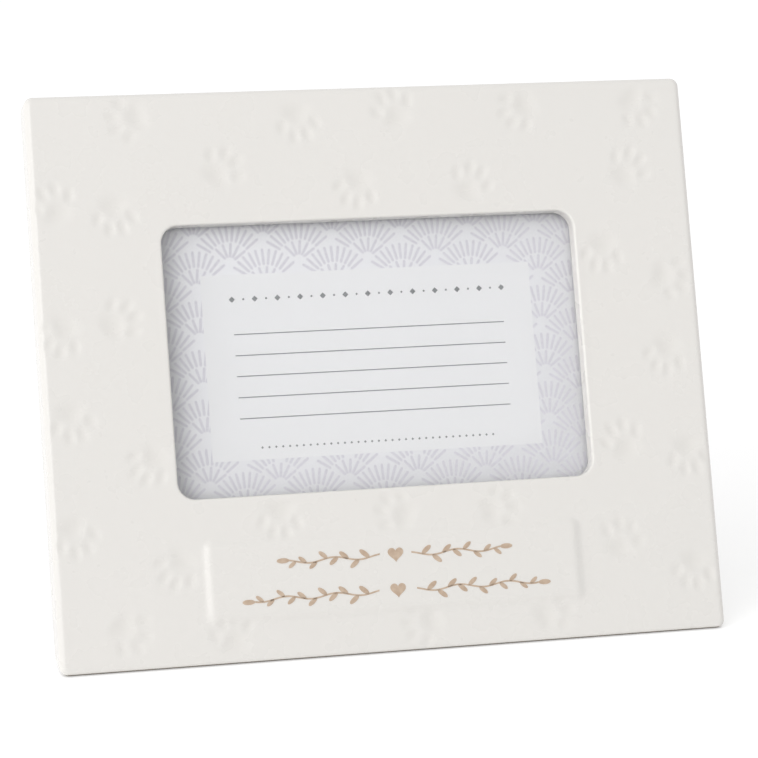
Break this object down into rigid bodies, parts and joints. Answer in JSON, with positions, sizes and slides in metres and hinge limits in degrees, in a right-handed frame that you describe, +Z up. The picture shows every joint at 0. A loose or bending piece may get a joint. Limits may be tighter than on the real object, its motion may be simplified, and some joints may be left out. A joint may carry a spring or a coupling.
{
  "type": "ceramic photo frame",
  "caption": "Landscape glazed ceramic photo frame with a recessed window, a raised blank plaque, pressed paw prints, a folding easel leg and turn buttons.",
  "frame": {"origin": "on the table, under the middle of the frame's bounding box as it stands", "axes": "+X to the right seen from the front, +Y towards the back, where the easel leg stands, +Z up; the face looks along -Y and leans back by 19.3 degrees"},
  "size_m": [0.23, 0.0875, 0.1822],
  "materials": {
    "glaze": "glossy off-white glaze, unglazed ground base",
    "glass": "clear float glass",
    "print_card": "matt printed card",
    "filler_card": "grey board",
    "backing": "hardboard covered with black flocked paper",
    "plated_steel": "nickel plated",
    "nylon": "moulded"
  },
  "bodies": {
    "frame": {"ceramic_frame": "glaze", "glass_pane": "glass", "print_card": "print_card", "filler_card": "filler_card", "back_board": "backing", "hinge_leaf_fixed": "plated_steel", "hinge_pin": "plated_steel", "board_rivet_left": "plated_steel", "board_rivet_right": "plated_steel", "anchor_plug_top_left": "nylon", "anchor_plug_top_right": "nylon", "anchor_plug_bottom_left": "nylon", "anchor_plug_bottom_right": "nylon", "button_screw_top_left": "plated_steel", "button_screw_top_right": "plated_steel", "button_screw_bottom_left": "plated_steel", "button_screw_bottom_right": "plated_steel"},
    "leg": {"easel_leg": "backing", "hinge_leaf_moving": "plated_steel", "leg_rivet_left": "plated_steel", "leg_rivet_right": "plated_steel"},
    "button_top_left": {"turn_button_top_left": "plated_steel"},
    "button_top_right": {"turn_button_top_right": "plated_steel"},
    "button_bottom_left": {"turn_button_bottom_left": "plated_steel"},
    "button_bottom_right": {"turn_button_bottom_right": "plated_steel"}
  },
  "joints": [
    {"name": "easel_leg_fold", "type": "hinge", "parent": "frame", "child": "leg", "pos_m": [0, 0.01628, 0.12546], "axis": [-1, 0, 0], "range_deg": [0, 31.3]},
    {"name": "button_top_left_turn", "type": "hinge", "parent": "frame", "child": "button_top_left", "pos_m": [-0.05, 0.02196, 0.14699], "axis": [0, 0.9438, -0.3305], "continuous": true},
    {"name": "button_top_right_turn", "type": "hinge", "parent": "frame", "child": "button_top_right", "pos_m": [0.05, 0.02196, 0.14699], "axis": [0, 0.9438, -0.3305], "continuous": true},
    {"name": "button_bottom_left_turn", "type": "hinge", "parent": "frame", "child": "button_bottom_left", "pos_m": [-0.05, -0.01678, 0.03638], "axis": [0, 0.9438, -0.3305], "continuous": true},
    {"name": "button_bottom_right_turn", "type": "hinge", "parent": "frame", "child": "button_bottom_right", "pos_m": [0.05, -0.01678, 0.03638], "axis": [0, 0.9438, -0.3305], "continuous": true}
  ]
}
